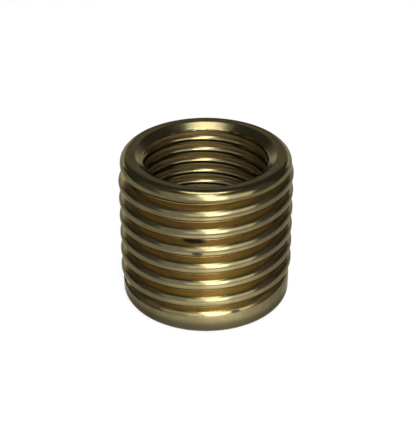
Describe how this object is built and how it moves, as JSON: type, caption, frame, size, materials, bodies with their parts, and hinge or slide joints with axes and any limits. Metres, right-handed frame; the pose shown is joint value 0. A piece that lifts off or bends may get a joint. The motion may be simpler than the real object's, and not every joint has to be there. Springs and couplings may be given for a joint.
{
  "type": "lamp thread reducer",
  "caption": "Headless brass lamp thread reducer: a short turned tube with a coarse rounded thread outside, a finer thread in its bore, a rounded rim and countersunk mouths.",
  "frame": {"origin": "Middle of the foot's face, on the axis of the bore", "axes": "+Z along the bore from the foot to the rounded rim, -Y to the front as the picture shows it, +X to the right"},
  "size_m": [0.0128, 0.0128, 0.0117],
  "materials": {
    "brass": "satin"
  },
  "bodies": {
    "root": {"thread_reducer": "brass"}
  },
  "joints": []
}
